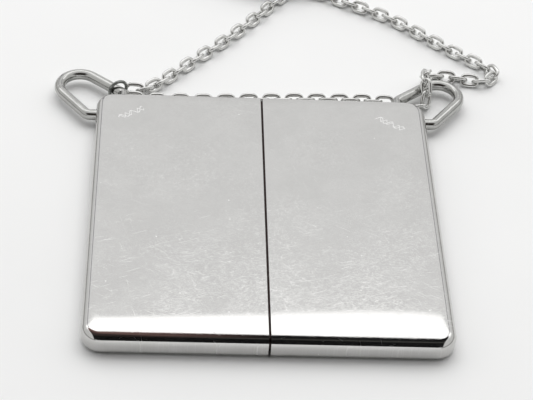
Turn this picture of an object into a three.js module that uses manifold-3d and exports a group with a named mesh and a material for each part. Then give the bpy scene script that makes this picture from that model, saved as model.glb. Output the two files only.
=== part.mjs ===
// A flat two-part metal wallet on a chain, in millimetres, +Z up.
//
// The case is a rounded slab cut in two at the middle. The left half carries an inner collar,
// and the right half slides off it along +X. A bent wire loop stands at each far corner, and a
// chain is threaded through both loops.
//
// All pieces are drawn in the case's own frame: the middle of the case is x = y = 0 and its
// underside is z = 0. The closing group moves that frame so that the origin is below the middle
// of the case and its loops together.
import * as THREE from "three";
import { mergeVertices } from "three/addons/utils/BufferGeometryUtils.js";
import Module from "manifold-3d";

// ---- driving dimensions ----
const caseWidth = 100;
const caseDepth = 103;
const caseHeight = 6.5;
const shellWall = 0.7;
const edgeRadius = 2.4;
const cornerRadius = 5.7;
const seamGap = 0.45;

// clearances
const slideClearance = 0.3;
const seatClearance = 0.3;
const holeClearance = 0.2;
const ringClearance = 0.33;

// collar
const collarWall = 0.4;
const collarReach = 18;

// springs on the collar
const leafThickness = 0.2;
const leafHeight = 1.5;
const leafSpan = 12;
const leafStart = 3;
const leafCrest = 0.1;
const leafWindowMargin = 0.6;
const cardSpringLength = 44;
const cardSpringWidth = 9;
const cardSpringThickness = 0.3;
const cardSpringRise = 1.3;

// corner loops
const loopWire = 3.3;
const loopInset = 7.9;
const loopStub = 2.7;
const loopBendRadius = 2.2;
const loopEyeOffset = 5.5;
const loopEyeRadius = 6.1;
const loopTailEnd = 0.4;

// retainers pushed on the loops' tails inside the case
const retainerWall = 0.5;
const retainerThickness = 1.2;

// chain
const chainDiameter = 3.4;
const linkLength = 6.2;
const linkWidth = 4.4;
const linkWire = 1.05;
const ringRadius = 2.85;
const ringWire = 1.0;
const ringStation = 0.165;
const ringSwing = 0.35;
const coilRadius = 20.4;
const coilLayers = 2;
const layerRise = 3.1;
const shoulderDrop = 0.35;

// ---- values worked out from them ----
const midHeight = caseHeight / 2;
const farWall = caseDepth / 2;
const sideWall = caseWidth / 2;
const collarInset = shellWall + slideClearance;
const collarHeight = caseHeight - 2 * collarInset;
const collarDepth = caseDepth - 2 * collarInset;
// a retainer keeps clear of the shell's top and bottom, and stands off the wall by as much as the
// shell's rounded inner edge needs
const retainerRoom = midHeight - shellWall - holeClearance;
const retainerRadius = Math.min(loopWire / 2 + holeClearance + retainerWall, retainerRoom);
const innerEdge = edgeRadius - shellWall;
const retainerRise = Math.min(innerEdge, retainerRadius + holeClearance - (midHeight - edgeRadius));
const retainerSeat = innerEdge - Math.sqrt(innerEdge ** 2 - retainerRise ** 2) + holeClearance / 2;
const loopTail = retainerSeat + retainerThickness + loopTailEnd;
const loopReach = loopEyeOffset + loopEyeRadius + loopWire / 2;
const originShift = -loopReach / 2;

// ---- finishes ----
const finish = (color, roughness, metalness = 1) =>
  new THREE.MeshStandardMaterial({ color, roughness, metalness });
const shellFinish = finish(0xc9c9c6, 0.22);
const collarFinish = finish(0x3d3a37, 0.45);
const springFinish = finish(0x9a9a98, 0.3);
const loopFinish = finish(0xc2c3c0, 0.15);
const retainerFinish = finish(0x8d8e8c, 0.4);
const chainFinish = finish(0xb8bab6, 0.2);

// ---- solids: closed meshes joined and cut ----
const wasm = await Module();
wasm.setup();

function solidOf(geometry) {
  const bare = geometry.clone();
  bare.deleteAttribute("normal");
  bare.deleteAttribute("uv");
  const merged = mergeVertices(bare, 1e-4);
  return new wasm.Manifold(new wasm.Mesh({
    numProp: 3,
    vertProperties: new Float32Array(merged.attributes.position.array),
    triVerts: new Uint32Array(merged.index.array),
  }));
}

function geometryOf(solid) {
  const mesh = solid.getMesh();
  const geometry = new THREE.BufferGeometry();
  geometry.setAttribute("position", new THREE.BufferAttribute(new Float32Array(mesh.vertProperties), 3));
  geometry.setIndex(new THREE.BufferAttribute(new Uint32Array(mesh.triVerts), 1));
  geometry.computeVertexNormals();
  return geometry;
}

function boxSolid(low, high) {
  const size = high.map((value, axis) => value - low[axis]);
  const centre = high.map((value, axis) => (value + low[axis]) / 2);
  return solidOf(new THREE.BoxGeometry(...size).translate(...centre));
}

// A rod of the given radius between two points.
function rodSolid(from, to, radius, sides) {
  const start = new THREE.Vector3(...from);
  const along = new THREE.Vector3(...to).sub(start);
  const rod = new THREE.CylinderGeometry(radius, radius, along.length(), sides);
  const turn = new THREE.Quaternion().setFromUnitVectors(new THREE.Vector3(0, 1, 0), along.clone().normalize());
  rod.applyQuaternion(turn);
  rod.translate(...start.addScaledVector(along, 0.5).toArray());
  return solidOf(rod);
}

// ---- outlines ----
function roundedRectangle(width, height, radius, shape = new THREE.Shape()) {
  const x = width / 2;
  const y = height / 2;
  shape.moveTo(x, -y + radius);
  shape.lineTo(x, y - radius);
  shape.absarc(x - radius, y - radius, radius, 0, Math.PI / 2, false);
  shape.lineTo(-x + radius, y);
  shape.absarc(-x + radius, y - radius, radius, Math.PI / 2, Math.PI, false);
  shape.lineTo(-x, -y + radius);
  shape.absarc(-x + radius, -y + radius, radius, Math.PI, 1.5 * Math.PI, false);
  shape.lineTo(x - radius, -y);
  shape.absarc(x - radius, -y + radius, radius, 1.5 * Math.PI, 2 * Math.PI, false);
  return shape;
}

// A flat slab, rounded in plan and along its top and bottom edges, standing at the given inset
// from the case's outside.
function slab(inset) {
  const edge = edgeRadius - inset;
  const height = caseHeight - 2 * inset;
  const shape = roundedRectangle(
    caseWidth - 2 * (inset + edge),
    caseDepth - 2 * (inset + edge),
    cornerRadius - inset - edge,
  );
  const geometry = new THREE.ExtrudeGeometry(shape, {
    depth: height - 2 * edge,
    bevelThickness: edge,
    bevelSize: edge,
    bevelSegments: 5,
    curveSegments: 7,
  });
  geometry.translate(0, 0, inset + edge);
  return solidOf(geometry);
}

// ---- the two shells ----
// side is -1 for the left half and +1 for the right half.
function shell(side) {
  const keep = side < 0
    ? boxSolid([-caseWidth, -caseDepth, -caseHeight], [-seamGap / 2, caseDepth, 2 * caseHeight])
    : boxSolid([seamGap / 2, -caseDepth, -caseHeight], [caseWidth, caseDepth, 2 * caseHeight]);
  let solid = slab(0).intersect(keep).subtract(slab(shellWall));
  const hole = loopWire / 2 + holeClearance;
  const backX = side * (sideWall - loopInset);
  const sideY = farWall - loopInset;
  const through = 2 * shellWall;
  const back = rodSolid([backX, farWall - through, midHeight], [backX, farWall + through, midHeight], hole, 20);
  const flank = rodSolid(
    [side * (sideWall - through), sideY, midHeight],
    [side * (sideWall + through), sideY, midHeight],
    hole,
    20,
  );
  solid = solid.subtract(back).subtract(flank);
  return geometryOf(solid);
}

// ---- the collar and its springs ----
function collar() {
  const band = roundedRectangle(collarDepth, collarHeight, edgeRadius - collarInset);
  const bore = roundedRectangle(
    collarDepth - 2 * collarWall,
    collarHeight - 2 * collarWall,
    edgeRadius - collarInset - collarWall,
    new THREE.Path(),
  );
  band.holes.push(bore);
  const geometry = new THREE.ExtrudeGeometry(band, {
    depth: 2 * collarReach,
    bevelEnabled: false,
    curveSegments: 5,
  });
  // the outline's own x and y become the case's y and z, and its depth runs along x
  geometry.rotateX(Math.PI / 2).rotateZ(Math.PI / 2);
  geometry.translate(-collarReach, 0, midHeight);
  let solid = solidOf(geometry);
  for (const side of [-1, 1]) {
    const wallY = side * collarDepth / 2;
    const window = boxSolid(
      [leafStart + leafWindowMargin, wallY - 2 * collarWall, midHeight - leafHeight / 2 - holeClearance],
      [leafStart + leafSpan - leafWindowMargin, wallY + 2 * collarWall, midHeight + leafHeight / 2 + holeClearance],
    );
    solid = solid.subtract(window);
  }
  return geometryOf(solid);
}

// An upright strip whose plan outline is a shallow bow of the given span and rise.
function bowedStrip(span, rise, thickness, height) {
  const radius = (span * span / 4 + rise * rise) / (2 * rise);
  const half = Math.asin(span / 2 / radius);
  const first = Math.PI / 2 - half;
  const last = Math.PI / 2 + half;
  const shape = new THREE.Shape();
  shape.absarc(0, rise - radius, radius, first, last, false);
  shape.absarc(0, rise - radius, radius - thickness, last, first, true);
  return new THREE.ExtrudeGeometry(shape, { depth: height, bevelEnabled: false, curveSegments: 12 });
}

// A leaf seen from above bows outwards through its window in the collar's short wall.
function frictionSpring(side) {
  const wallInside = collarDepth / 2 - collarWall;
  const endOutside = wallInside - seatClearance;
  const crestOutside = collarDepth / 2 + leafCrest;
  const geometry = bowedStrip(leafSpan, crestOutside - endOutside, leafThickness, leafHeight);
  geometry.translate(leafStart + leafSpan / 2, endOutside, midHeight - leafHeight / 2);
  if (side < 0) geometry.rotateX(Math.PI).translate(0, 0, 2 * midHeight);
  return geometry;
}

// A long bowed strip on the collar's floor presses the cards up.
function cardSpring() {
  const floor = collarInset + collarWall + seatClearance;
  const geometry = bowedStrip(cardSpringLength, cardSpringRise, cardSpringThickness, cardSpringWidth);
  geometry.rotateX(Math.PI / 2).rotateZ(Math.PI / 2);
  geometry.translate(-cardSpringWidth / 2, 0, floor + cardSpringThickness);
  return geometry;
}

// ---- the corner loops ----
// A planar path of straight runs joined by arcs, walked at an even pace.
class RunPath extends THREE.Curve {
  constructor(runs) {
    super();
    this.runs = runs;
    this.lengths = runs.map((run) => run.getLength());
    this.total = this.lengths.reduce((sum, length) => sum + length, 0);
  }

  getPoint(t, target = new THREE.Vector3()) {
    let left = t * this.total;
    let index = 0;
    while (index < this.runs.length - 1 && left > this.lengths[index]) {
      left -= this.lengths[index];
      index += 1;
    }
    const flat = this.runs[index].getPoint(Math.min(1, left / this.lengths[index]));
    return target.set(flat.x, flat.y, 0);
  }
}

// An arc of the given radius that rounds the corner between two directions.
function fillet(corner, before, after, radius) {
  const from = corner.clone().sub(before).normalize();
  const to = after.clone().sub(corner).normalize();
  const turn = Math.atan2(from.x * to.y - from.y * to.x, from.dot(to));
  const trim = radius * Math.tan(Math.abs(turn) / 2);
  const start = corner.clone().addScaledVector(from, -trim);
  const end = corner.clone().addScaledVector(to, trim);
  const side = Math.sign(turn);
  const centre = new THREE.Vector2(-from.y, from.x).multiplyScalar(side * radius).add(start);
  const first = Math.atan2(start.y - centre.y, start.x - centre.x);
  const arc = new THREE.EllipseCurve(centre.x, centre.y, radius, radius, first, first + turn, side < 0);
  return { start, end, arc };
}

// The right loop's centre line, measured from the case's far corner: out of the far wall, round
// the eye and into the side wall.
function loopPath() {
  const tailEnd = shellWall + loopTail;
  const eye = new THREE.Vector2(loopEyeOffset, loopEyeOffset);
  const backBend = new THREE.Vector2(-loopInset, loopStub);
  const toEye = eye.clone().sub(backBend);
  const lean = Math.asin(loopEyeRadius / toEye.length());
  const legAngle = Math.atan2(toEye.y, toEye.x) + lean;
  const leg = Math.sqrt(toEye.lengthSq() - loopEyeRadius * loopEyeRadius);
  const touch = backBend.clone().add(new THREE.Vector2(Math.cos(legAngle), Math.sin(legAngle)).multiplyScalar(leg));
  const mirrored = (point) => new THREE.Vector2(point.y, point.x);
  const tailStart = new THREE.Vector2(-loopInset, -tailEnd);
  const first = fillet(backBend, tailStart, touch, loopBendRadius);
  const last = fillet(mirrored(backBend), mirrored(touch), mirrored(tailStart), loopBendRadius);
  const eyeStart = legAngle + Math.PI / 2;
  const eyeEnd = Math.PI / 2 - eyeStart;
  return new RunPath([
    new THREE.LineCurve(tailStart, first.start),
    first.arc,
    new THREE.LineCurve(first.end, touch),
    new THREE.EllipseCurve(eye.x, eye.y, loopEyeRadius, loopEyeRadius, eyeStart, eyeEnd, true),
    new THREE.LineCurve(mirrored(touch), last.start),
    last.arc,
    new THREE.LineCurve(last.end, mirrored(tailStart)),
  ]);
}

function roundSection(radius, sides) {
  const section = new THREE.Shape();
  for (let corner = 0; corner < sides; corner += 1) {
    const angle = 2 * Math.PI * corner / sides;
    const point = [radius * Math.cos(angle), radius * Math.sin(angle)];
    if (corner === 0) section.moveTo(...point);
    else section.lineTo(...point);
  }
  return section;
}

function loop(side) {
  const geometry = new THREE.ExtrudeGeometry(roundSection(loopWire / 2, 12), {
    steps: 88,
    extrudePath: loopPath(),
  });
  geometry.translate(sideWall, farWall, midHeight);
  if (side < 0) {
    // turning the loop over about Y mirrors it, because its wire lies in one plane
    geometry.rotateY(Math.PI).translate(0, 0, 2 * midHeight);
  }
  return geometry;
}

// A ring pushed on the loop's tail, just inside the wall it came through.
function retainer() {
  const bore = loopWire / 2 + holeClearance;
  const profile = [
    new THREE.Vector2(bore, 0),
    new THREE.Vector2(retainerRadius, 0),
    new THREE.Vector2(retainerRadius, retainerThickness),
    new THREE.Vector2(bore, retainerThickness),
    new THREE.Vector2(bore, 0),
  ];
  return new THREE.LatheGeometry(profile, 20);
}

function backRetainer(side) {
  const mouth = farWall - shellWall - retainerSeat - retainerThickness;
  return retainer().translate(side * (sideWall - loopInset), mouth, midHeight);
}

function sideRetainer(side) {
  const mouth = sideWall - shellWall - retainerSeat - retainerThickness;
  return retainer().rotateZ(-side * Math.PI / 2).translate(side * mouth, farWall - loopInset, midHeight);
}

// ---- the chain ----
const tableHeight = chainDiameter / 2 + 0.05;
const crestHeight = midHeight + loopWire / 2 + seatClearance + chainDiameter / 2;
const shoulderHeight = crestHeight - shoulderDrop;
const crossingHeight = tableHeight + chainDiameter + seatClearance;

function strand(points, steps) {
  const route = new THREE.CatmullRomCurve3(points.map((point) => new THREE.Vector3(...point)), false, "centripetal");
  return new THREE.ExtrudeGeometry(roundSection(chainDiameter / 2, 8), { steps, extrudePath: route });
}

// From the jump ring, up and away to the coil.
const leftStrand = [
  [-40.3, 58.6, tableHeight],
  [-38.0, 58.2, tableHeight],
  [-34.6, 59.4, tableHeight],
  [-30.6, 62.8, tableHeight],
  [-26.2, 67.4, tableHeight],
  [-20.0, 74.6, tableHeight],
  [-13.8, 81.2, tableHeight],
  [-7.2, 89.0, tableHeight],
  [-0.6, 97.6, tableHeight],
  [6.1, 106.6, tableHeight],
  [11.2, 113.2, tableHeight],
  [15.2, 118.6, tableHeight],
];

// From the coil, over the left strand, to where the right strand begins.
const crossingStrand = [
  [3.6, 112.2, crossingHeight],
  [7.6, 112.6, crossingHeight],
  [12.2, 113.0, crossingHeight],
  [16.2, 112.9, 3.9],
  [19.8, 112.2, 2.2],
  [23.4, 111.1, tableHeight],
];

// Down to the right of the case, back in a tight bend, over the right loop's leg and into its eye.
const rightStrand = [
  [23.9, 110.9, tableHeight],
  [29.4, 107.8, tableHeight],
  [36.4, 104.1, tableHeight],
  [43.2, 99.9, tableHeight],
  [49.2, 95.0, tableHeight],
  [54.8, 89.8, tableHeight],
  [60.4, 84.8, tableHeight],
  [66.1, 80.0, tableHeight],
  [71.0, 76.0, tableHeight],
  [74.4, 72.4, tableHeight],
  [73.4, 69.0, tableHeight],
  [69.6, 67.7, tableHeight],
  [64.6, 68.2, tableHeight],
  [58.9, 69.3, tableHeight],
  [54.4, 68.8, 2.2],
  [52.5, 66.9, 4.2],
  [51.7, 64.4, shoulderHeight],
  [51.3, 61.4, crestHeight],
  [51.3, 58.7, shoulderHeight],
  [51.5, 56.8, 4.0],
  [51.2, 55.2, 2.3],
  [49.5, 54.3, tableHeight],
  [47.4, 54.4, tableHeight],
];

// Along the far wall, from the right loop to the jump ring.
const backStrand = [
  [40.2, 55.7, tableHeight],
  [34.0, 56.0, tableHeight],
  [24.0, 55.9, tableHeight],
  [12.0, 55.5, tableHeight],
  [0.0, 54.9, tableHeight],
  [-12.0, 54.2, tableHeight],
  [-24.0, 53.7, tableHeight],
  [-32.0, 53.6, tableHeight],
  [-37.0, 53.9, tableHeight],
  [-40.3, 54.3, tableHeight],
];

// One link lies flat under the right loop's leg and joins the two strands on either side of it.
const flatLinkMiddle = [43.8, 55.05, linkWire / 2];

function flatLink() {
  const straight = linkLength / 2 - linkWidth / 2;
  const ends = linkWidth / 2 - linkWire / 2;
  const path = new RunPath([
    new THREE.LineCurve(new THREE.Vector2(-straight, -ends), new THREE.Vector2(straight, -ends)),
    new THREE.EllipseCurve(straight, 0, ends, ends, -Math.PI / 2, Math.PI / 2, false),
    new THREE.LineCurve(new THREE.Vector2(straight, ends), new THREE.Vector2(-straight, ends)),
    new THREE.EllipseCurve(-straight, 0, ends, ends, Math.PI / 2, 1.5 * Math.PI, false),
  ]);
  const sweep = [];
  const stations = 24;
  const sides = 8;
  const across = new THREE.Vector3();
  const up = new THREE.Vector3(0, 0, 1);
  for (let station = 0; station < stations; station += 1) {
    const at = path.getPointAt(station / stations);
    across.crossVectors(path.getTangentAt(station / stations), up).normalize();
    for (let corner = 0; corner < sides; corner += 1) {
      const angle = 2 * Math.PI * corner / sides;
      const point = at.clone()
        .addScaledVector(across, linkWire / 2 * Math.cos(angle))
        .addScaledVector(up, linkWire / 2 * Math.sin(angle));
      sweep.push(...point.toArray());
    }
  }
  const faces = [];
  for (let station = 0; station < stations; station += 1) {
    for (let corner = 0; corner < sides; corner += 1) {
      const next = (station + 1) % stations;
      const beside = (corner + 1) % sides;
      const [a, b] = [station * sides + corner, station * sides + beside];
      const [c, d] = [next * sides + beside, next * sides + corner];
      faces.push(a, c, b, a, d, c);
    }
  }
  const geometry = new THREE.BufferGeometry();
  geometry.setAttribute("position", new THREE.Float32BufferAttribute(sweep, 3));
  geometry.setIndex(faces);
  return geometry.rotateZ(-0.12).translate(...flatLinkMiddle);
}

// The jump ring stands upright round the left loop's leg, swung a little from square to it, with its
// foot on the table. It is pulled outwards until its bore is a clearance away from the wire.
const ringHeight = ringRadius + ringWire / 2;
const ringPlay = ringRadius - ringWire / 2 - loopWire / 2 - ringClearance;
const ringHang = Math.sqrt(Math.max(0, ringPlay ** 2 - (ringHeight - midHeight) ** 2));

function jumpRing() {
  const ring = new THREE.TorusGeometry(ringRadius, ringWire / 2, 8, 24);
  const path = loopPath();
  const leg = path.getTangentAt(ringStation);
  const seat = path.getPointAt(ringStation).addScaledVector(new THREE.Vector3(-leg.y, leg.x, 0), ringHang);
  ring.rotateX(Math.PI / 2).rotateZ(Math.atan2(leg.x, leg.y) - ringSwing);
  return ring.translate(-(sideWall + seat.x), farWall + seat.y, ringHeight);
}

// The coil's outer shape: turns side by side in two layers.
const coilMiddle = [-3, 137];

function coil() {
  const half = chainDiameter;
  const top = chainDiameter + (coilLayers - 1) * layerRise;
  const chamfer = chainDiameter / 4;
  const profile = [
    new THREE.Vector2(coilRadius - half, chamfer),
    new THREE.Vector2(coilRadius - half + chamfer, 0),
    new THREE.Vector2(coilRadius + half - chamfer, 0),
    new THREE.Vector2(coilRadius + half, chamfer),
    new THREE.Vector2(coilRadius + half, top - chamfer),
    new THREE.Vector2(coilRadius + half - chamfer, top),
    new THREE.Vector2(coilRadius - half + chamfer, top),
    new THREE.Vector2(coilRadius - half, top - chamfer),
    new THREE.Vector2(coilRadius - half, chamfer),
  ];
  return new THREE.LatheGeometry(profile, 40).rotateX(Math.PI / 2).translate(...coilMiddle, 0);
}

// ---- the wallet ----
const wallet = new THREE.Group();
wallet.position.y = originShift;

function add(name, geometry, material) {
  const mesh = new THREE.Mesh(geometry, material);
  mesh.name = name;
  wallet.add(mesh);
}

for (const [hand, side] of [["left", -1], ["right", 1]]) {
  add(`${hand}_shell`, shell(side), shellFinish);
  add(`${hand}_loop`, loop(side), loopFinish);
  add(`${hand}_loop_back_retainer`, backRetainer(side), retainerFinish);
  add(`${hand}_loop_side_retainer`, sideRetainer(side), retainerFinish);
}
add("collar", collar(), collarFinish);
add("near_friction_spring", frictionSpring(-1), springFinish);
add("far_friction_spring", frictionSpring(1), springFinish);
add("card_spring", cardSpring(), springFinish);
add("jump_ring", jumpRing(), chainFinish);
add("chain_left_strand", strand(leftStrand, 22), chainFinish);
add("chain_crossing_strand", strand(crossingStrand, 8), chainFinish);
add("chain_right_strand", strand(rightStrand, 40), chainFinish);
add("chain_back_strand", strand(backStrand, 16), chainFinish);
add("chain_flat_link", flatLink(), chainFinish);
add("chain_coil", coil(), chainFinish);

export default wallet;
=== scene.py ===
import math

import bpy
import numpy as np
from mathutils import Matrix, Vector
from mathutils.kdtree import KDTree


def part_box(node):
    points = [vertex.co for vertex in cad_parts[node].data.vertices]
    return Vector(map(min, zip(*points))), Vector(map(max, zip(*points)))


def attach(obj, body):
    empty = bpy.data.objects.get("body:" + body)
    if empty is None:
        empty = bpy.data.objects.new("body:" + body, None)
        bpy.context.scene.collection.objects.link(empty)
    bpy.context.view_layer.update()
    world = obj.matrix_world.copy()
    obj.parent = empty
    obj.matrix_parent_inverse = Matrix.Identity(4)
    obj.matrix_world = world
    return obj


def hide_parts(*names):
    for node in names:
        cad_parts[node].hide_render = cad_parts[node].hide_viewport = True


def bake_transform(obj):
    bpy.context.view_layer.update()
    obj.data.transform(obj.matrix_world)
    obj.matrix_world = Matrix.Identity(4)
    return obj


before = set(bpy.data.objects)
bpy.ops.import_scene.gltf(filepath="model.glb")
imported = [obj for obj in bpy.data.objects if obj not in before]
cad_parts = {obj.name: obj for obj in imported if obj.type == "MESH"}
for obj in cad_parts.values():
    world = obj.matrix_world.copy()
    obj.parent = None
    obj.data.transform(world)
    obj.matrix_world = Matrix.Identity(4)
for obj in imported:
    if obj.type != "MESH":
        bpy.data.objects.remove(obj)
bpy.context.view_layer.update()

MM = 0.001
rng = np.random.default_rng(41)

# Shapes are worked out in millimetres in the case's own frame, whose origin is under the middle of
# the case. The row frame is the same, moved along Y.
shell_low, shell_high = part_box("left_shell")
CASE_Y = (shell_low.y + shell_high.y) / 2 / MM


def row(points):
    """Case-frame millimetres to row-frame metres."""
    return (np.asarray(points, float) + [0, CASE_Y, 0]) * MM


# ---- camera ----
CAMERA_PLACE = (-28.788, -366.398, 341.545)
CAMERA_YAW = -0.07854
CAMERA_PITCH = 0.73409
CAMERA_ROLL = 0.07927
CAMERA_LENS = 118.42
CAMERA_SENSOR = 36
CAMERA_CLIP = (0.01, 20)


def make_camera():
    yaw, pitch, roll = CAMERA_YAW, CAMERA_PITCH, CAMERA_ROLL
    back = Vector(
        (math.sin(yaw) * math.cos(pitch), -math.cos(yaw) * math.cos(pitch), math.sin(pitch))
    )
    right = Vector((math.cos(yaw), math.sin(yaw), 0))
    up = back.cross(right)
    turned_right = math.cos(roll) * right + math.sin(roll) * up
    turned_up = math.cos(roll) * up - math.sin(roll) * right
    data = bpy.data.cameras.new("camera")
    data.lens = CAMERA_LENS
    data.sensor_width = CAMERA_SENSOR
    data.clip_start, data.clip_end = CAMERA_CLIP
    camera = bpy.data.objects.new("camera", data)
    turned = Matrix((turned_right, turned_up, back)).transposed().to_4x4()
    camera.matrix_world = Matrix.Translation(Vector(row([CAMERA_PLACE])[0])) @ turned
    bpy.context.scene.collection.objects.link(camera)
    bpy.context.scene.camera = camera


make_camera()


# ---- mesh helpers ----
def add_mesh(name, vertices, faces, smooth=True):
    """A mesh object in the row frame, from case-frame millimetres."""
    mesh = bpy.data.meshes.new(name)
    mesh.from_pydata([tuple(p) for p in row(vertices)], [], [tuple(f) for f in faces])
    mesh.polygons.foreach_set("use_smooth", [smooth] * len(mesh.polygons))
    mesh.update()
    piece = bpy.data.objects.new(name, mesh)
    bpy.context.scene.collection.objects.link(piece)
    return piece


SPLINE_STEP = 0.2


def spline(points):
    """A route through the points along a centripetal Catmull-Rom curve."""
    p = np.asarray(points, float)
    p = np.vstack([2 * p[0] - p[1], p, 2 * p[-1] - p[-2]])
    dense = []
    for i in range(1, len(p) - 2):
        a, b, c, d = p[i - 1 : i + 3]
        t0 = 0.0
        t1 = t0 + math.sqrt(np.linalg.norm(b - a))
        t2 = t1 + math.sqrt(np.linalg.norm(c - b))
        t3 = t2 + math.sqrt(np.linalg.norm(d - c))
        count = max(8, int(np.linalg.norm(c - b) / SPLINE_STEP * 2))
        t = np.linspace(t1, t2, count, endpoint=False)[:, None]
        ab = (t1 - t) / (t1 - t0) * a + (t - t0) / (t1 - t0) * b
        bc = (t2 - t) / (t2 - t1) * b + (t - t1) / (t2 - t1) * c
        cd = (t3 - t) / (t3 - t2) * c + (t - t2) / (t3 - t2) * d
        abc = (t2 - t) / (t2 - t0) * ab + (t - t0) / (t2 - t0) * bc
        bcd = (t3 - t) / (t3 - t1) * bc + (t - t1) / (t3 - t1) * cd
        dense.append((t2 - t) / (t2 - t1) * abc + (t - t1) / (t2 - t1) * bcd)
    dense.append(p[-2][None])
    return Route(np.vstack(dense))


def tube_faces(rings, sides, closed=False):
    """Faces between rings of vertices that follow one another."""
    faces = []
    for ring in range(rings if closed else rings - 1):
        here, following = ring * sides, (ring + 1) % rings * sides
        for side in range(sides):
            beside = (side + 1) % sides
            faces.append((here + side, here + beside, following + beside, following + side))
    return faces


def end_caps(rings, sides):
    """The two flat ends of a tube."""
    return [tuple(reversed(range(sides))), tuple(range((rings - 1) * sides, rings * sides))]


class Route:
    """A polyline that can be asked for a place and a direction at a distance along it."""

    def __init__(self, points):
        self.points = np.asarray(points, float)
        steps = np.linalg.norm(np.diff(self.points, axis=0), axis=1)
        self.at = np.concatenate([[0], np.cumsum(steps)])
        self.length = float(self.at[-1])

    def place(self, distance):
        return np.array([np.interp(distance, self.at, self.points[:, k]) for k in range(3)]).T

    def heading(self, distance, reach=1.6):
        before = self.place(max(0.0, distance - reach))
        after = self.place(min(self.length, distance + reach))
        return (after - before) / np.linalg.norm(after - before)


# ---- the chain's links ----
LINK_LENGTH = 6.25
LINK_WIDTH = 4.45
LINK_WIRE_END = 1.0
LINK_WIRE_SIDE = 1.28
LINK_WIRE_THICK = 0.98
LINK_STATIONS = 28
LINK_SIDES = 10
LINK_SECTION_POWER = 3


def link_shape():
    """One oval link in its own plane: long axis X, width along Y, thickness along Z."""
    straight = (LINK_LENGTH - LINK_WIDTH) / 2
    outer_end = LINK_WIDTH / 2
    vertices = []
    for station in range(LINK_STATIONS):
        angle = 2 * math.pi * station / LINK_STATIONS
        across = abs(math.sin(angle))
        wide = LINK_WIRE_END + (LINK_WIRE_SIDE - LINK_WIRE_END) * across**2
        radius = outer_end - wide / 2
        shift = math.copysign(straight, math.cos(angle)) * min(1, 3 * abs(math.cos(angle)))
        middle = np.array([shift, 0, 0])
        outward = np.array([math.cos(angle), math.sin(angle), 0])
        for side in range(LINK_SIDES):
            turn = 2 * math.pi * (side + 0.5) / LINK_SIDES
            c, s = math.cos(turn), math.sin(turn)
            # a section between an ellipse and a rounded box, as a rolled wire has
            power = LINK_SECTION_POWER
            reach = (abs(c) ** power + abs(s) ** power) ** (-1 / power)
            vertices.append(
                middle
                + outward * (radius + reach * c * wide / 2)
                + np.array([0, 0, reach * s * LINK_WIRE_THICK / 2])
            )
    faces = tube_faces(LINK_STATIONS, LINK_SIDES, closed=True)
    return np.array(vertices), np.array(faces)[:, ::-1]


LINK_VERTICES, LINK_FACES = link_shape()
LINK_TILT = 45
LINK_TILT_SPREAD = 7


def links_along(name, route, stations, first_roll=1):
    """A chain as one mesh: a link at each station, each turned a quarter against the one before."""
    vertices, faces = [], []
    for index, station in enumerate(stations):
        middle = route.place(station)
        along = route.heading(station)
        level = np.cross([0, 0, 1], along)
        level /= np.linalg.norm(level)
        over = np.cross(along, level)
        sign = first_roll if index % 2 == 0 else -first_roll
        roll = math.radians(sign * LINK_TILT + rng.uniform(-LINK_TILT_SPREAD, LINK_TILT_SPREAD))
        width = math.cos(roll) * level + math.sin(roll) * over
        thick = np.cross(along, width)
        faces.append(LINK_FACES + len(vertices) * len(LINK_VERTICES))
        vertices.append(LINK_VERTICES @ np.array([along, width, thick]) + middle)
    return add_mesh(name, np.vstack(vertices), np.vstack(faces))


# ---- the chain's route ----
# heights of the chain's centre line: on the table, the rise to the coil's upper layer, over the
# loop's leg, beside the leg, and where one strand crosses the other
TABLE = 1.75
LAYER_RISE = 3.1
CREST = 6.9
SHOULDER = CREST - 0.35
CROSSING = 5.45
COIL_MIDDLE = np.array([-3.0, 137.0])
COIL_START = 21.9
COIL_INNER = 18.7
COIL_OUTER = 22.1
COIL_TOP = 20.4

left_strand = [
    (-40.3, 58.6, TABLE),
    (-38.0, 58.2, TABLE),
    (-34.6, 59.4, TABLE),
    (-30.6, 62.8, TABLE),
    (-26.2, 67.4, TABLE),
    (-20.0, 74.6, TABLE),
    (-13.8, 81.2, TABLE),
    (-7.2, 89.0, TABLE),
    (-0.6, 97.6, TABLE),
    (6.1, 106.6, TABLE),
    (11.2, 113.2, TABLE),
    (15.2, 118.6, TABLE),
    (17.6, 123.4, TABLE),
    (18.6, 128.4, TABLE),
    (18.9, 133.0, TABLE),
]


def coil_points():
    """Outer turn, inner turn, then a turn on top of both, ending over the outer one."""
    keys = [0, 40, 320, 390, 660, 740, 960]
    radii = [COIL_START, COIL_OUTER, COIL_OUTER, COIL_INNER, COIL_INNER, COIL_TOP, COIL_TOP]
    heights = [TABLE] * 5 + [TABLE + LAYER_RISE] * 2
    points = []
    for angle in range(0, keys[-1] + 1, 20):
        radius = np.interp(angle, keys, radii)
        height = np.interp(angle, keys, heights)
        turn = math.radians(angle)
        x, y = COIL_MIDDLE + radius * np.array([math.cos(turn), math.sin(turn)])
        points.append((x, y, height))
    return points


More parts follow.
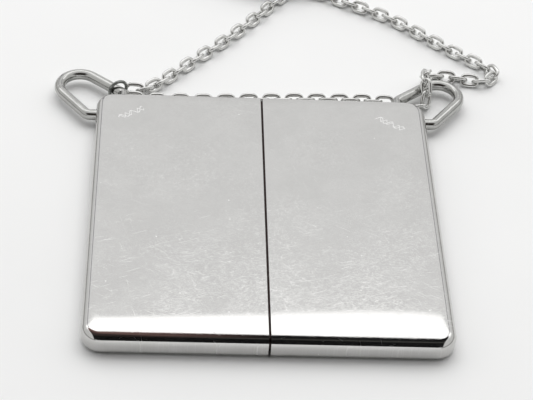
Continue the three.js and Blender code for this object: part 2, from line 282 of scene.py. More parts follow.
crossing_strand = [
    (-8.4, 116.6, 5.0),
    (-3.2, 114.3, 5.3),
    (0.6, 112.8, CROSSING),
    (3.6, 112.2, CROSSING),
    (7.6, 112.6, CROSSING),
    (12.2, 113.0, CROSSING),
    (16.2, 112.9, 3.9),
    (19.8, 112.2, 2.2),
    (23.4, 111.1, TABLE),
]
right_strand = [
    (29.4, 107.8, TABLE),
    (36.4, 104.1, TABLE),
    (43.2, 99.9, TABLE),
    (49.2, 95.0, TABLE),
    (54.8, 89.8, TABLE),
    (60.4, 84.8, TABLE),
    (66.1, 80.0, TABLE),
    (71.0, 76.0, TABLE),
    (74.4, 72.4, TABLE),
    (73.4, 69.0, TABLE),
    (69.6, 67.7, TABLE),
    (64.6, 68.2, TABLE),
    (58.9, 69.3, TABLE),
    (54.4, 68.8, 2.2),
    (52.5, 66.9, 4.2),
    (51.7, 64.4, SHOULDER),
    (51.3, 61.4, CREST),
    (51.3, 58.7, SHOULDER),
    (51.5, 56.8, 4.0),
    (51.2, 55.2, 2.3),
    (49.5, 54.3, TABLE),
    (47.4, 54.4, TABLE),
]
back_strand = [
    (40.2, 55.7, TABLE),
    (34.0, 56.0, TABLE),
    (24.0, 55.9, TABLE),
    (12.0, 55.5, TABLE),
    (0.0, 54.9, TABLE),
    (-12.0, 54.2, TABLE),
    (-24.0, 53.7, TABLE),
    (-32.0, 53.6, TABLE),
    (-37.0, 53.9, TABLE),
    (-40.3, 54.3, TABLE),
]

long_route = spline(left_strand + coil_points() + crossing_strand + right_strand)
back_route = spline(back_strand)

# distance between link centres, as (distance along the route, pitch) pairs
PITCH_TAUT = 4.1
PITCH_SLACK = 3.72
LONG_PITCHES = (
    (0, 3.2),
    (9, 3.3),
    (15, PITCH_TAUT),
    (80, PITCH_TAUT),
    (110, PITCH_SLACK),
    (900, PITCH_SLACK),
)
BACK_PITCHES = ((0, 3.66), (100, 3.66))
END_MARGIN = 1.6


def stations_of(route, pitches):
    """Link centres along a route, which begin and end a margin inside its ends."""
    distances, values = zip(*pitches)
    stations = [END_MARGIN]
    while stations[-1] < route.length - END_MARGIN:
        stations.append(stations[-1] + np.interp(stations[-1], distances, values))
    spread = (route.length - END_MARGIN - stations[0]) / (stations[-1] - stations[0])
    return [stations[0] + (s - stations[0]) * spread for s in stations]


CORD_STEP = 1.5


def declare_chain(piece, route, nodes):
    """Hides the CAD pieces that a chain stands for and bakes its placement into its mesh."""
    path = row(route.place(np.linspace(0, route.length, int(route.length / CORD_STEP))))
    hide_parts(*nodes)
    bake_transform(piece)


# ---- materials ----
class Nodes:
    """A short way to write a node tree."""

    def __init__(self, name):
        self.material = bpy.data.materials.new(name)
        self.material.use_nodes = True
        self.tree = self.material.node_tree
        self.shader = self.tree.nodes["Principled BSDF"]
        coordinates = self.tree.nodes.new("ShaderNodeTexCoord")
        self.millimetres = self.mapping(coordinates.outputs["Object"], scale=(1000, 1000, 1000))

    def add(self, kind, **values):
        node = self.tree.nodes.new(kind)
        for key, value in values.items():
            setattr(node, key, value)
        return node

    def join(self, source, target):
        self.tree.links.new(source, target)

    def mapping(self, source, scale=(1, 1, 1), turn=0.0, place=(0, 0, 0), kind="POINT"):
        node = self.add("ShaderNodeMapping", vector_type=kind)
        node.inputs["Scale"].default_value = scale
        node.inputs["Rotation"].default_value = (0, 0, turn)
        node.inputs["Location"].default_value = place
        self.join(source, node.inputs["Vector"])
        return node.outputs["Vector"]

    def noise(self, source, scale, detail=2.0, roughness=0.5):
        node = self.add("ShaderNodeTexNoise")
        node.inputs["Scale"].default_value = scale
        node.inputs["Detail"].default_value = detail
        node.inputs["Roughness"].default_value = roughness
        self.join(source, node.inputs["Vector"])
        return node.outputs["Fac"]

    def ramp(self, source, low, high, to_low=0.0, to_high=1.0):
        node = self.add("ShaderNodeMapRange", interpolation_type="SMOOTHSTEP")
        for socket, value in zip(node.inputs[1:5], (low, high, to_low, to_high)):
            socket.default_value = value
        self.join(source, node.inputs[0])
        return node.outputs[0]

    def math(self, operation, first, second):
        node = self.add("ShaderNodeMath", operation=operation)
        for socket, value in zip(node.inputs, (first, second)):
            if isinstance(value, (int, float)):
                socket.default_value = value
            else:
                self.join(value, socket)
        return node.outputs[0]

    def blend_colour(self, factor, first, second):
        node = self.add("ShaderNodeMix", data_type="RGBA")
        self.join(factor, node.inputs["Factor"])
        for socket, value in zip((node.inputs[6], node.inputs[7]), (first, second)):
            if isinstance(value, tuple):
                socket.default_value = (*value, 1)
            else:
                self.join(value, socket)
        return node.outputs[2]

    def bump(self, height, strength, distance):
        node = self.add("ShaderNodeBump")
        node.inputs["Strength"].default_value = strength
        node.inputs["Distance"].default_value = distance
        self.join(height, node.inputs["Height"])
        return node.outputs["Normal"]

    def total(self, parts):
        result = parts[0]
        for part in parts[1:]:
            result = self.math("ADD", result, part)
        return result

    def scratches(self, angles, length, width, amount, seed):
        """Fine straight marks in several directions, drawn from a stretched noise."""
        layers = []
        for index, angle in enumerate(angles):
            streak = self.mapping(
                self.millimetres,
                scale=(length, width, 40),
                turn=math.radians(angle),
                place=(seed + 57.3 * index, 33.1 * index, 0),
                kind="TEXTURE",
            )
            layers.append(self.ramp(self.noise(streak, 1.0, 1.0), 1 - amount, 1 - amount + 0.06))
        return self.total(layers)

    def separate(self, source):
        node = self.add("ShaderNodeSeparateXYZ")
        self.join(source, node.inputs[0])
        return node.outputs


STEEL = (0.605, 0.60, 0.59)
STEEL_BRIGHT = (0.88, 0.88, 0.87)
STEEL_DULL = (0.575, 0.57, 0.56)
STEEL_SHADE = (0.40, 0.40, 0.39)
# painted shade for the dark gap at the seam, put on the cut edges
SEAM_PAINTED_SHADE = (0.05, 0.035, 0.03)
POLISHED_ROUGHNESS = 0.055
MARK_DEPTH = 0.000012

# (place in the row frame in millimetres, slant in degrees, length) of the engraved flourishes
CORNER_FLOURISHES = (
    ((-39.3, 41.2 + CASE_Y, 0), 34.0, 9.0),
    ((38.6, 39.6 + CASE_Y, 0), -34.0, 10.0),
)


# (waves per 2 pi millimetres, height, phase) of a flourish's two lines
FLOURISH_WAVES = ((2.9, 0.75, 0.0), (1.7, 0.95, 1.1))


def squiggle(n, middle, angle, length):
    """A small engraved flourish: two waves of a fine line along a slanted base line."""
    local = n.mapping(n.millimetres, turn=math.radians(angle), place=middle, kind="TEXTURE")
    along, across, _ = n.separate(local)
    inside = n.ramp(n.math("ABSOLUTE", along, 0.0), length / 2, length / 2 - 0.4)
    lines = []
    for pitch, height, phase in FLOURISH_WAVES:
        turn = n.math("ADD", n.math("MULTIPLY", along, pitch), phase)
        wave = n.math("MULTIPLY", n.math("SINE", turn, 0.0), height)
        away = n.math("ABSOLUTE", n.math("SUBTRACT", across, wave), 0.0)
        lines.append(n.ramp(away, 0.34, 0.14))
    return n.math("MULTIPLY", n.math("MINIMUM", n.total(lines), 1.0), inside)


def polished_steel(name):
    """Handled polished steel: fine scratches in all directions, small nicks, a faint haze."""
    n = Nodes(name)
    x, y, _ = n.separate(n.millimetres)
    # more worn towards the near edge; painted shade darkens the cut edges at the seam, for the dark
    # gap between the halves
    near = n.ramp(y, 10.0, -60.0)
    seam_painted_shade = n.ramp(n.math("ABSOLUTE", x, 0.0), 0.37, 0.27)
    haze = n.noise(n.millimetres, 0.09, 4.0, 0.6)
    fine = n.noise(n.millimetres, 2.6, 3.0, 0.6)
    grain = n.scratches((4, 27, -18, 62, -55, 88), 2.6, 0.16, 0.36, 3.0)
    long_marks = n.scratches((24, -31, 12, -72), 9.0, 0.15, 0.27, 61.0)
    patches = n.ramp(n.noise(n.mapping(n.millimetres, place=(31, 12, 0)), 0.045, 2.0), 0.4, 0.66)
    grain = n.math("MULTIPLY", n.math("MULTIPLY", grain, 0.22), n.math("ADD", patches, 0.4))
    long_marks = n.math("MULTIPLY", long_marks, n.math("ADD", near, 0.35))
    marks = n.total([grain, long_marks] + [squiggle(n, *values) for values in CORNER_FLOURISHES])
    marks = n.math("MINIMUM", marks, 1.0)

    cells = n.add("ShaderNodeTexVoronoi")
    cells.inputs["Scale"].default_value = 0.30
    n.join(n.millimetres, cells.inputs["Vector"])
    nick = n.ramp(cells.outputs["Distance"], 0.06, 0.03)
    chosen = n.add("ShaderNodeSeparateColor")
    n.join(cells.outputs["Color"], chosen.inputs["Color"])
    picked = n.math("ADD", chosen.outputs["Red"], n.math("MULTIPLY", near, 0.3))
    nick = n.math("MULTIPLY", nick, n.ramp(picked, 0.86, 0.9))

    tint = n.blend_colour(n.ramp(haze, 0.3, 0.7), STEEL_DULL, STEEL)
    tint = n.blend_colour(n.ramp(fine, 0.3, 0.7, 0.12, 0.0), tint, STEEL_SHADE)
    colour = n.blend_colour(n.math("MULTIPLY", marks, 0.45), tint, STEEL_BRIGHT)
    colour = n.blend_colour(n.math("MULTIPLY", nick, 0.8), colour, STEEL_BRIGHT)
    # painted shade on the cut edges along the seam
    colour = n.blend_colour(seam_painted_shade, colour, SEAM_PAINTED_SHADE)
    n.join(colour, n.shader.inputs["Base Color"])
    roughness = n.total(
        [
            n.ramp(haze, 0.3, 0.75, POLISHED_ROUGHNESS, POLISHED_ROUGHNESS + 0.02),
            n.math("MULTIPLY", marks, 0.20),
            n.math("MULTIPLY", fine, 0.02),
        ]
    )
    n.join(roughness, n.shader.inputs["Roughness"])
    height = n.total(
        [
            n.math("MULTIPLY", marks, -0.5),
            n.math("MULTIPLY", nick, -2.5),
            n.math("MULTIPLY", fine, 0.10),
        ]
    )
    n.join(n.bump(height, 0.5, MARK_DEPTH), n.shader.inputs["Normal"])
    n.shader.inputs["Metallic"].default_value = 1.0
    return n.material


def rolled_steel(name, base, rough, grain_turn=0.0):
    """Sheet or wire as it comes from the rolls: fine lines one way, with a few marks across."""
    n = Nodes(name)
    turn = math.radians(grain_turn)
    lines = n.mapping(n.millimetres, scale=(12, 0.2, 0.2), turn=turn, kind="TEXTURE")
    grain = n.noise(lines, 1.0, 3.0, 0.6)
    haze = n.noise(n.millimetres, 0.35, 3.0, 0.6)
    marks = n.scratches((20, -35, 75), 9.0, 0.12, 0.31, 17.0)
    colour = n.blend_colour(n.ramp(haze, 0.3, 0.7), tuple(0.88 * c for c in base), base)
    colour = n.blend_colour(n.math("MULTIPLY", marks, 0.35), colour, STEEL_BRIGHT)
    n.join(colour, n.shader.inputs["Base Color"])
    roughness = n.total(
        [
            n.ramp(grain, 0.3, 0.7, rough - 0.04, rough + 0.06),
            n.math("MULTIPLY", marks, 0.12),
        ]
    )
    n.join(roughness, n.shader.inputs["Roughness"])
    height = n.total([n.math("MULTIPLY", grain, 0.6), n.math("MULTIPLY", marks, -0.8)])
    n.join(n.bump(height, 0.45, MARK_DEPTH), n.shader.inputs["Normal"])
    n.shader.inputs["Metallic"].default_value = 1.0
    return n.material


shell_steel = polished_steel("shell_steel_look")
loop_steel = rolled_steel("loop_steel_look", (0.48, 0.48, 0.465), 0.10)
chain_steel = rolled_steel("chain_steel_look", (0.70, 0.70, 0.685), 0.11)
# the jump ring's steel is much darker than the rest: painted shade for how dark its reflections
# look
ring_painted_shade_steel = rolled_steel("ring_painted_shade_look", (0.26, 0.27, 0.26), 0.12)
# the collar's steel is near black-brown: painted shade for the dark inside of the seam
collar_painted_shade_steel = rolled_steel("collar_painted_shade_look", (0.045, 0.032, 0.03), 0.42)
spring_steel = rolled_steel("spring_steel_look", (0.42, 0.42, 0.41), 0.28, grain_turn=90)
retainer_steel = rolled_steel("retainer_steel_look", (0.40, 0.40, 0.39), 0.36)


# ---- chain pieces ----
RING_RADIUS = 2.85
RING_WIRE_RADIUS = 0.5
RING_AXIS = (-0.499, 0.866, 0)
RING_CUT_TURN = 150
RING_CUT = 0.06
RING_STATIONS = 72
RING_SIDES = 16


def jump_ring_mesh(name, middle):
    """A round wire ring with a thin cut through it."""
    axis = np.asarray(RING_AXIS, float) / np.linalg.norm(RING_AXIS)
    first = np.cross(axis, [0, 0, 1])
    first /= np.linalg.norm(first)
    second = np.cross(axis, first)
    start = math.radians(RING_CUT_TURN) + RING_CUT
    sweep = 2 * math.pi - 2 * RING_CUT
    vertices = []
    for station in range(RING_STATIONS + 1):
        turn = start + sweep * station / RING_STATIONS
        outward = math.cos(turn) * first + math.sin(turn) * second
        for side in range(RING_SIDES):
            angle = 2 * math.pi * side / RING_SIDES
            reach = RING_RADIUS + RING_WIRE_RADIUS * math.cos(angle)
            vertices.append(middle + outward * reach + axis * RING_WIRE_RADIUS * math.sin(angle))
    faces = tube_faces(RING_STATIONS + 1, RING_SIDES) + end_caps(RING_STATIONS + 1, RING_SIDES)
    return add_mesh(name, vertices, faces)


def centre_of(node):
    low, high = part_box(node)
    return np.array((low + high) / 2) / MM - [0, CASE_Y, 0]


ring = jump_ring_mesh("jump_ring_fine", centre_of("jump_ring"))
ring.data.materials.append(ring_painted_shade_steel)
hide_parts("jump_ring")
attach(ring, "left_half")

FLAT_LINK_TURN = -0.12
cosine, sine = math.cos(FLAT_LINK_TURN), math.sin(FLAT_LINK_TURN)
turned = np.array([[cosine, sine, 0], [-sine, cosine, 0], [0, 0, 1]])
flat_link = add_mesh(
    "flat_link",
    LINK_VERTICES @ turned + centre_of("chain_flat_link"),
    LINK_FACES,
)
flat_link.data.materials.append(chain_steel)
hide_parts("chain_flat_link")
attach(flat_link, "right_half")

long_chain = links_along(
    "chain_long_run",
    long_route,
    stations_of(long_route, LONG_PITCHES),
)
long_chain.data.materials.append(chain_steel)
declare_chain(
    long_chain,
    long_route,
    ("chain_left_strand", "chain_coil", "chain_crossing_strand", "chain_right_strand"),
)

back_chain = links_along(
    "chain_back_run",
    back_route,
    stations_of(back_route, BACK_PITCHES),
    first_roll=-1,
)
back_chain.data.materials.append(chain_steel)
declare_chain(
    back_chain,
    back_route,
    ("chain_back_strand",),
)


# ---- the shells ----
CASE_WIDTH = 100.0
CASE_DEPTH = 103.0
CASE_HEIGHT = 6.5
SHELL_WALL = 0.7
EDGE_RADIUS = 2.4
LOWER_EDGE_RADIUS = 1.7
CORNER_RADIUS = 5.7
SEAM_GAP = 0.45
LIP_RADIUS = 0.14
INNER_LIP_RADIUS = 0.15
INNER_CORNER_MINIMUM = 0.4
CROWN_WIDTH = 1.6
CROWN_SLOPE = math.radians(3.2)
# the share of the crown's width by which its corners tighten in plan
CROWN_CORNER_SHARE = 0.9
LOOP_WIRE = 3.3
LOOP_INSET = 7.9
HOLE_RADIUS = LOOP_WIRE / 2 + 0.2
HOLE_SIDES = 40
HOLE_REACH = 2.2

# the crown is polished a little wider along the near edge: (place along X, extra width)
CROWN_EXTRA = ((-45, 5.2), (0, 8.4), (2, 9.2), (28, 11.0), (38, 10.8), (45, 9.8))
CROWN_EXTRA_DEPTH = 26.0


def edge_profile(edge_radius):
    """Half of the edge's section, from the middle of the wall up to the flat top.

    Each row is (inset from the outside, height, corner radius in plan, outward normal, up normal,
    share of the way across the crown).
    """
    drop = CROWN_WIDTH * math.tan(CROWN_SLOPE) / 2
    last_turn = math.pi / 2 - CROWN_SLOPE
    arc_middle = CASE_HEIGHT - drop - edge_radius * math.sin(last_turn)
    rows = []
    for turn in np.linspace(0, last_turn, 15):
        inset = edge_radius * (1 - math.cos(turn))
        height = arc_middle + edge_radius * math.sin(turn)
        rows.append((inset, height, CORNER_RADIUS - inset, math.cos(turn), math.sin(turn), 0.0))
    start_inset, start_radius = rows[-1][0], rows[-1][2]
    for share in np.linspace(0, 1, 12)[1:]:
        inset = start_inset + share * CROWN_WIDTH
        slope = CROWN_SLOPE * (1 - share)
        height = CASE_HEIGHT - drop * (1 - share) ** 2
        radius = start_radius - CROWN_CORNER_SHARE * share * CROWN_WIDTH
        rows.append((inset, height, radius, math.sin(slope), math.cos(slope), share))
    return rows


def full_profile():
    """The edge's whole section, from the flat underside round to the flat top."""
    lower = edge_profile(LOWER_EDGE_RADIUS)
    lower = [
        (inset, CASE_HEIGHT - height, radius, out, -up, share)
        for inset, height, radius, out, up, share in reversed(lower)
    ]
    return lower + edge_profile(EDGE_RADIUS)


def crown_shift(side, x, y, share):
    """How far a point of the crown moves in from the near edge, for a point of the left shell."""
    places, extras = zip(*CROWN_EXTRA)
    fade = np.clip((y + CASE_DEPTH / 2 - CROWN_WIDTH) / CROWN_EXTRA_DEPTH, 0, 1)
    return share * np.interp(-side * x, places, extras) * (1 - fade)


def contour(inset, radius):
    """Plan outline of the left half at an inset: (x, y, outward x, outward y).

    It runs from the seam's front end round the closed end to the seam's back end.
    """
    width = CASE_WIDTH / 2 - inset
    depth = CASE_DEPTH / 2 - inset
    seam = -(SEAM_GAP / 2 + LIP_RADIUS)
    run = width - radius
    rise = depth - radius
    points = []
    for share in np.linspace(0, 1, 14):
        points.append((seam + share * (-run - seam), -depth, 0, -1))
    for turn in np.linspace(0, math.pi / 2, 13)[1:]:
        out = (-math.sin(turn), -math.cos(turn))
        points.append((-run + radius * out[0], -rise + radius * out[1], *out))
    for share in np.linspace(0, 1, 20)[1:]:
        points.append((-width, -rise + share * 2 * rise, -1, 0))
    for turn in np.linspace(0, math.pi / 2, 13)[1:]:
        out = (-math.cos(turn), math.sin(turn))
        points.append((-run + radius * out[0], rise + radius * out[1], *out))
    for share in np.linspace(0, 1, 14)[1:]:
        points.append((-run + share * (seam + run), depth, 0, 1))
    return points


def shell_skin(side, depth_in):
    """Vertices and normals of one skin of the left shell, offset inwards, as rows of contours."""
    grid, normals = [], []
    for inset, height, radius, out, up, share in full_profile():
        points = contour(inset + depth_in * out, max(INNER_CORNER_MINIMUM, radius - depth_in * out))
        level = height - depth_in * up
        grid.append([(x, y + crown_shift(side, x, y, share), level) for x, y, _, _ in points])
        normals.append([(nx * out, ny * out, up) for _, _, nx, ny in points])
    return np.array(grid), np.array(normals)


def lip_stations():
    """(x, depth, turn) that carry the outside round the seam's lip to the inside."""
    seam = -SEAM_GAP / 2
    stations = []
    for turn in np.linspace(0, math.pi / 2, 6)[1:]:
        x = seam - LIP_RADIUS * (1 - math.sin(turn))
        stations.append((x, LIP_RADIUS * (1 - math.cos(turn)), turn))
    for turn in np.linspace(math.pi / 2, math.pi, 4)[:-1]:
        x = seam - INNER_LIP_RADIUS * (1 - math.sin(turn))
        stations.append((x, SHELL_WALL - INNER_LIP_RADIUS * (1 + math.cos(turn)), turn))
    return stations


def shell_parts(side):
    """Vertices, faces and normals of the closed left shell, without its loop holes."""
    outer, outer_normals = shell_skin(side, 0.0)
    inner, inner_normals = shell_skin(side, SHELL_WALL)
    rows, columns = outer.shape[:2]
    vertices = [outer.reshape(-1, 3), inner.reshape(-1, 3)]
    normals = [outer_normals.reshape(-1, 3), -inner_normals.reshape(-1, 3)]
    outside = np.arange(rows * columns).reshape(rows, columns)
    inside = outside + rows * columns
    faces = []
    for i in range(rows - 1):
        for j in range(columns - 1):
            corners = ((i, j), (i + 1, j), (i + 1, j + 1), (i, j + 1))
            faces.append(tuple(outside[corner] for corner in corners))
            faces.append(tuple(inside[corners[k]] for k in (0, 3, 2, 1)))
    faces.append(tuple(outside[-1, ::-1]))
    faces.append(tuple(outside[0, :]))
    faces.append(tuple(inside[-1, :]))
    faces.append(tuple(inside[0, ::-1]))
    # the seam's section, once round: front edge upwards, then back edge downwards
    count = 2 * rows * columns
    loops = [np.concatenate([outside[:, 0], outside[::-1, -1]])]
    profile = full_profile()
    for x, depth_in, turn in lip_stations():
        ring_points, ring_normals = [], []
        for end, rows_of in ((-1, profile), (1, list(reversed(profile)))):
            for inset, height, _, out, up, share in rows_of:
                y = end * (CASE_DEPTH / 2 - inset - depth_in * out)
                ring_points.append((x, y + crown_shift(side, x, y, share), height - depth_in * up))
                lean = math.cos(turn)
                ring_normals.append((math.sin(turn), end * out * lean, up * lean))
        vertices.append(np.array(ring_points))
        normals.append(np.array(ring_normals))
        loops.append(np.arange(count, count + 2 * rows))
        count += 2 * rows
    loops.append(np.concatenate([inside[:, 0], inside[::-1, -1]]))
    for before, after in zip(loops, loops[1:]):
        for k in range(len(before)):
            following = (k + 1) % len(before)
            faces.append((before[k], after[k], after[following], before[following]))
    return np.vstack(vertices), faces, np.vstack(normals)


def cut_holes(piece, side):
    """Bores for the loop's two legs."""
    for name, middle, turned in (
        ("back", (side * (CASE_WIDTH / 2 - LOOP_INSET), CASE_DEPTH / 2, CASE_HEIGHT / 2), False),
        ("flank", (side * CASE_WIDTH / 2, CASE_DEPTH / 2 - LOOP_INSET, CASE_HEIGHT / 2), True),
    ):
        vertices = []
        for end in (-HOLE_REACH, HOLE_REACH):
            for corner in range(HOLE_SIDES):
                angle = 2 * math.pi * (corner + 0.5) / HOLE_SIDES
                u, v = HOLE_RADIUS * math.cos(angle), HOLE_RADIUS * math.sin(angle)
                offset = (end, u, v) if turned else (u, end, v)
                vertices.append(np.array(middle) + offset)
        faces = tube_faces(2, HOLE_SIDES) + end_caps(2, HOLE_SIDES)
        cutter = add_mesh("cutter", vertices, faces, smooth=False)
        modifier = piece.modifiers.new(name, "BOOLEAN")
        modifier.operation = "DIFFERENCE"
        modifier.solver = "EXACT"
        modifier.object = cutter
        bpy.context.view_layer.objects.active = piece
        chosen = {"object": piece, "active_object": piece, "selected_objects": [piece]}
        with bpy.context.temp_override(**chosen):
            bpy.ops.object.modifier_apply(modifier=name)
        bpy.data.objects.remove(cutter)


# a drawn normal that is further from its face's own belongs to another face, such as a bore's
NORMAL_AGREEMENT = 0.8


def restore_normals(piece, vertices, normals):
    """Gives the cut mesh the exact normals that its skin was drawn with."""
    tree = KDTree(len(vertices))
    placed = row(vertices)
    for index, point in enumerate(placed):
        tree.insert(point, index)
    tree.balance()
    mesh = piece.data
    nearest = [tree.find(v.co)[1] for v in mesh.vertices]
    corner_normals = []
    for polygon in mesh.polygons:
        for index in polygon.vertices:
            drawn = Vector(normals[nearest[index]]).normalized()
            agrees = drawn.dot(polygon.normal) > NORMAL_AGREEMENT
            corner_normals.append(drawn if agrees else polygon.normal.copy())
    mesh.normals_split_custom_set([tuple(v) for v in corner_normals])


def make_shell(side):
    vertices, faces, normals = shell_parts(side)
    hand = "left" if side < 0 else "right"
    if side > 0:
        vertices = vertices * [-1, 1, 1]
        normals = normals * [-1, 1, 1]
        faces = [tuple(reversed(face)) for face in faces]
    piece = add_mesh(f"{hand}_shell_skin", vertices, faces)
    cut_holes(piece, side)
    restore_normals(piece, vertices, normals)
    piece.data.materials.append(shell_steel)
    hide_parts(f"{hand}_shell")
    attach(piece, f"{hand}_half")


make_shell(-1)
make_shell(1)


# ---- the corner loops ----
LOOP_STUB = 2.7
LOOP_BEND = 2.2
LOOP_EYE_OFFSET = 5.5
LOOP_EYE_RADIUS = 6.1
LOOP_TAIL = 3.4
LOOP_SIDES = 24
LOOP_STEP = 0.3
LOOP_END_ROUND = 0.35
LOOP_END_SHARE = 0.72


def arc(middle, radius, start, end, count):
    turns = np.linspace(start, end, count)
    return [middle + radius * np.array([math.cos(turn), math.sin(turn)]) for turn in turns]


def bend(corner, before, after, radius, count=14):
    """The arc that rounds a corner between two straight runs."""
    came = (corner - before) / np.linalg.norm(corner - before)
    goes = (after - corner) / np.linalg.norm(after - corner)
    turn = math.atan2(came[0] * goes[1] - came[1] * goes[0], float(came @ goes))
    trim = radius * math.tan(abs(turn) / 2)
    side = math.copysign(1, turn)
    start = corner - came * trim
    middle = start + side * radius * np.array([-came[1], came[0]])
    first = math.atan2(start[1] - middle[1], start[0] - middle[0])
    return arc(middle, radius, first, first + turn, count)


def loop_line():
    """The right loop's centre line, measured from the case's far corner."""
    eye = np.array([LOOP_EYE_OFFSET, LOOP_EYE_OFFSET])
    back = np.array([-LOOP_INSET, LOOP_STUB])
    to_eye = eye - back
    reach = np.linalg.norm(to_eye)
    leg_turn = math.atan2(to_eye[1], to_eye[0]) + math.asin(LOOP_EYE_RADIUS / reach)
    leg = math.sqrt(reach**2 - LOOP_EYE_RADIUS**2)
    touch = back + leg * np.array([math.cos(leg_turn), math.sin(leg_turn)])
    tail = np.array([-LOOP_INSET, -SHELL_WALL - LOOP_TAIL])
    first = leg_turn + math.pi / 2
    half = [tail] + bend(back, tail, touch, LOOP_BEND)
    half += arc(eye, LOOP_EYE_RADIUS, first, math.pi / 4, 34)
    other = [p[::-1] for p in reversed(half[:-1])]
    points = np.array(half + other)
    return Route(np.column_stack([points, np.zeros(len(points))]))


def make_loop(side):
    line = loop_line()
    count = int(line.length / LOOP_STEP)
    vertices = []
    for station in range(count + 1):
        distance = line.length * station / count
        middle = line.place(distance)
        along = line.heading(distance, reach=0.25)
        outward = np.array([along[1], -along[0], 0])
        # the ends of the wire are rounded over
        end = min(distance, line.length - distance)
        rounding = math.sqrt(min(1, end / LOOP_END_ROUND))
        radius = LOOP_WIRE / 2 * (LOOP_END_SHARE + (1 - LOOP_END_SHARE) * rounding)
        for corner in range(LOOP_SIDES):
            angle = 2 * math.pi * corner / LOOP_SIDES
            raised = np.array([0, 0, radius * math.sin(angle)])
            vertices.append(middle + radius * math.cos(angle) * outward + raised)
    faces = tube_faces(count + 1, LOOP_SIDES) + end_caps(count + 1, LOOP_SIDES)
    vertices = np.array(vertices)
    vertices[:, 2] += CASE_HEIGHT / 2
    vertices[:, 0] = side * (vertices[:, 0] + CASE_WIDTH / 2)
    vertices[:, 1] += CASE_DEPTH / 2
    if side < 0:
        faces = [tuple(reversed(face)) for face in faces]
    hand = "left" if side < 0 else "right"
    piece = add_mesh(f"{hand}_loop_wire", vertices, faces)
    piece.data.materials.append(loop_steel)
    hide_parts(f"{hand}_loop")
    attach(piece, f"{hand}_half")


make_loop(-1)
make_loop(1)


# ---- CAD pieces that keep their shape ----
SOFTENED_EDGE = 0.00005
SOFTENED_ANGLE = math.radians(40)


def dress(node, material):
    """Gives a CAD piece its material and softens its sharp edges."""
    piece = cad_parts[node]
    piece.data.materials.clear()
    piece.data.materials.append(material)
    softened = piece.modifiers.new("softened_edges", "BEVEL")
    softened.width = SOFTENED_EDGE
    softened.segments = 2
    softened.limit_method = "ANGLE"
    softened.angle_limit = SOFTENED_ANGLE


dress("collar", collar_painted_shade_steel)
for node in ("near_friction_spring", "far_friction_spring", "card_spring"):
    dress(node, spring_steel)
for hand in ("left", "right"):
    dress(f"{hand}_loop_back_retainer", retainer_steel)
    dress(f"{hand}_loop_side_retainer", retainer_steel)


# ---- floor, light and surroundings ----
FLOOR_REACH = 4000
FLOOR_DROP = 0.00002
FLOOR_TONES = ((0.86, 0.86, 0.855), (0.90, 0.90, 0.895))


def make_floor():
    n = Nodes("floor_paper")
    tone = n.noise(n.millimetres, 0.02, 2.0)
    n.join(n.blend_colour(tone, *FLOOR_TONES), n.shader.inputs["Base Color"])
    n.shader.inputs["Roughness"].default_value = 0.9
    n.shader.inputs["Specular IOR Level"].default_value = 0.1
    floor = add_mesh(
        "floor",
        [(FLOOR_REACH * x, FLOOR_REACH * y, 0) for x, y in ((-1, -1), (1, -1), (1, 1), (-1, 1))],
        [(0, 1, 2, 3)],
    )
    floor.location.z = -FLOOR_DROP
    floor.data.materials.append(n.material)


KEY_PLACE = (0.05, 0.50, 0.85)
KEY_SIZE = (1.2, 0.9)
KEY_POWER = 5.1


def make_key_light():
    """A large soft light behind and above the case, aimed at the origin."""
    data = bpy.data.lights.new("key_soft", "AREA")
    data.shape = "RECTANGLE"
    data.size, data.size_y = KEY_SIZE
    data.energy = KEY_POWER
    light = bpy.data.objects.new("key_soft", data)
    light.location = KEY_PLACE
    light.rotation_mode = "QUATERNION"
    light.rotation_quaternion = (-Vector(KEY_PLACE)).to_track_quat("-Z", "Y")
    light.visible_glossy = False
    light.visible_camera = False
    bpy.context.scene.collection.objects.link(light)


# colours of a painted reflection on the near edge: dark band, grey line and brown patch
PAINTED_REFLECTION_BLACK = (0.004, 0.004, 0.004)
PAINTED_REFLECTION_GREY = (0.055, 0.055, 0.05)
PAINTED_REFLECTION_BROWN = (0.27, 0.16, 0.145)
# the board's arc, seen along the edge: its middle's place, its radius and its two ends in degrees
FLAG_MIDDLE = (-49.1, 3.24)
FLAG_RADIUS = 13.0
FLAG_ENDS = (20, 119)
FLAG_HALF_WIDTH = 53.5
FLAG_STATIONS = 24


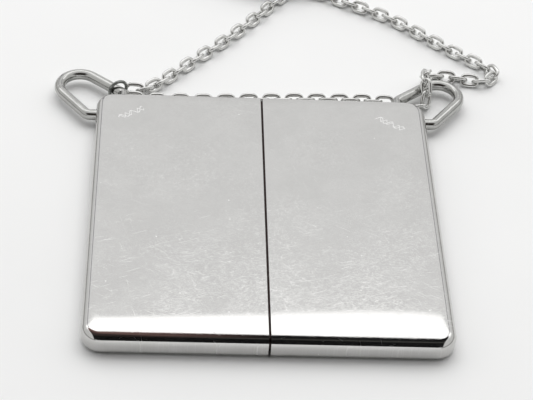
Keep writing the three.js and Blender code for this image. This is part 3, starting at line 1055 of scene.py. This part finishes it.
def make_flag():
    """A dark, glowing board curved round the near edge, which only reflections see.

    It paints a reflection: the dark band along the near edge, with a painted brown patch and a
    painted grey line, and it casts no shadow. Photographers use a dark flag to draw a crisp dark
    line along polished metal.
    """
    n = Nodes("flag_painted_reflection")
    x, y, _ = n.separate(n.millimetres)
    tone = n.noise(n.mapping(n.millimetres, scale=(0.03, 0.4, 0.4)), 1.0)
    # painted brown reflection, towards the front and left of the seam
    painted_brown_reflection = n.math("MULTIPLY", n.ramp(y, -62.0, -51.0), n.ramp(x, 4.0, -38.0))
    painted_brown_reflection = n.math("MULTIPLY", painted_brown_reflection, n.ramp(tone, 0.25, 0.6))
    # painted grey line inside the reflected dark band
    line = n.math("MULTIPLY", n.ramp(y, -60.6, -59.6), n.ramp(y, -56.5, -58.0))
    line = n.math("MULTIPLY", line, n.ramp(x, -35.0, 0.0))
    colour = n.blend_colour(line, PAINTED_REFLECTION_BLACK, PAINTED_REFLECTION_GREY)
    colour = n.blend_colour(painted_brown_reflection, colour, PAINTED_REFLECTION_BROWN)
    # the board glows with these colours, so the near edge shows a painted reflection
    n.join(colour, n.shader.inputs["Emission Color"])
    n.shader.inputs["Emission Strength"].default_value = 1.0
    n.shader.inputs["Base Color"].default_value = (0, 0, 0, 1)
    n.shader.inputs["Roughness"].default_value = 1.0
    vertices = []
    for turn in np.radians(np.linspace(*FLAG_ENDS, FLAG_STATIONS)):
        across = FLAG_MIDDLE[0] - FLAG_RADIUS * math.cos(turn)
        height = FLAG_MIDDLE[1] + FLAG_RADIUS * math.sin(turn)
        vertices += [(-FLAG_HALF_WIDTH, across, height), (FLAG_HALF_WIDTH, across, height)]
    faces = [(2 * k, 2 * k + 1, 2 * k + 3, 2 * k + 2) for k in range(FLAG_STATIONS - 1)]
    flag = add_mesh("flag", vertices, faces)
    flag.data.materials.append(n.material)
    flag.visible_camera = False
    flag.visible_diffuse = False
    flag.visible_transmission = False
    flag.visible_volume_scatter = False
    flag.visible_shadow = False


def grey(level):
    return (level, level, level)


# what polished metal sees
ROOM_BACK = grey(0.93)
ROOM_FRONT = grey(1.04)
ROOM_SIDES = (0.78, 0.78, 0.77)
STRIP_LIGHT = grey(2.0)
STRIP_TILT = 2.9
STRIP_TOP = (108.0, 118.0)
STRIP_EDGE = (132.95, 132.6)
BORDER_TONE = (0.30, 0.29, 0.32)
DARK_ZONE_TONE = (0.05, 0.042, 0.038)
LOW_TONE = (0.42, 0.42, 0.41)
# what rough surfaces see, in front and overhead, and what the camera sees past the floor
SOFT_FRONT = grey(0.08)
SOFT_ABOVE = grey(1.12)
CAMERA_SEES = grey(0.9)


def make_world():
    """Soft white studio.

    Polished metal sees a white room with a bright strip high at the back and a dark zone above the
    camera. Everything else is lit softly from above and behind.
    """
    world = bpy.data.worlds.new("studio")
    bpy.context.scene.world = world
    world.use_nodes = True
    tree = world.node_tree
    tree.nodes.clear()

    def node(kind, **values):
        made = tree.nodes.new(kind)
        for key, value in values.items():
            setattr(made, key, value)
        return made

    def fill(socket, value):
        if isinstance(value, (int, float)):
            socket.default_value = value
        elif isinstance(value, tuple):
            socket.default_value = (*value, 1)
        else:
            tree.links.new(value, socket)

    def calc(operation, *values):
        made = node("ShaderNodeMath", operation=operation)
        for socket, value in zip(made.inputs, values):
            fill(socket, value)
        return made.outputs[0]

    def smooth(value, low, high):
        made = node("ShaderNodeMapRange", interpolation_type="SMOOTHSTEP")
        for socket, item in zip(made.inputs[:5], (value, low, high, 0.0, 1.0)):
            fill(socket, item)
        return made.outputs[0]

    def mix(factor, first, second):
        made = node("ShaderNodeMix", data_type="RGBA")
        fill(made.inputs["Factor"], factor)
        fill(made.inputs[6], first)
        fill(made.inputs[7], second)
        return made.outputs[2]

    direction = node("ShaderNodeTexCoord").outputs["Generated"]
    parts = node("ShaderNodeSeparateXYZ")
    tree.links.new(direction, parts.inputs[0])
    x, y, z = parts.outputs
    # 0 at the horizon behind the camera, 90 overhead, 180 at the horizon behind the object
    climb = calc("DEGREES", calc("ARCTAN2", z, calc("MULTIPLY", y, -1.0)))
    aside = calc("ABSOLUTE", x)

    tone = smooth(climb, 150.0, 132.0)
    base = mix(tone, ROOM_BACK, ROOM_FRONT)
    base = mix(smooth(aside, 0.3, 0.8), base, ROOM_SIDES)
    # the strip's lower edge is tilted a little
    edge = calc("SUBTRACT", climb, calc("MULTIPLY", x, STRIP_TILT))
    strip = calc("MULTIPLY", smooth(edge, *STRIP_EDGE), smooth(climb, *STRIP_TOP))
    strip = calc("MULTIPLY", strip, smooth(aside, 0.75, 0.45))
    base = mix(strip, base, STRIP_LIGHT)
    # thin dark edges at both sides of what the top face sees
    border = calc("MULTIPLY", smooth(aside, 0.25, 0.28), smooth(aside, 0.36, 0.33))
    border = calc("MULTIPLY", border, smooth(climb, 118.0, 126.0))
    base = mix(border, base, BORDER_TONE)
    dark = calc("MULTIPLY", smooth(climb, 18.0, 26.0), smooth(climb, 84.0, 66.0))
    dark = calc("MULTIPLY", dark, smooth(aside, 0.7, 0.4))
    base = mix(dark, base, DARK_ZONE_TONE)
    low = calc("MULTIPLY", smooth(z, 0.30, 0.12), smooth(aside, 0.35, 0.6))
    base = mix(low, base, LOW_TONE)

    # the light on rough surfaces comes from above and behind
    soft = mix(smooth(climb, 50.0, 110.0), SOFT_FRONT, SOFT_ABOVE)

    path = node("ShaderNodeLightPath")
    seen = mix(path.outputs["Is Glossy Ray"], soft, base)
    seen = mix(path.outputs["Is Camera Ray"], seen, CAMERA_SEES)
    background = node("ShaderNodeBackground")
    tree.links.new(seen, background.inputs["Color"])
    output = node("ShaderNodeOutputWorld")
    tree.links.new(background.outputs[0], output.inputs["Surface"])


make_floor()
make_world()
make_key_light()
make_flag()
scene = bpy.context.scene
scene.view_settings.view_transform = "Standard"
scene.view_settings.look = "None"
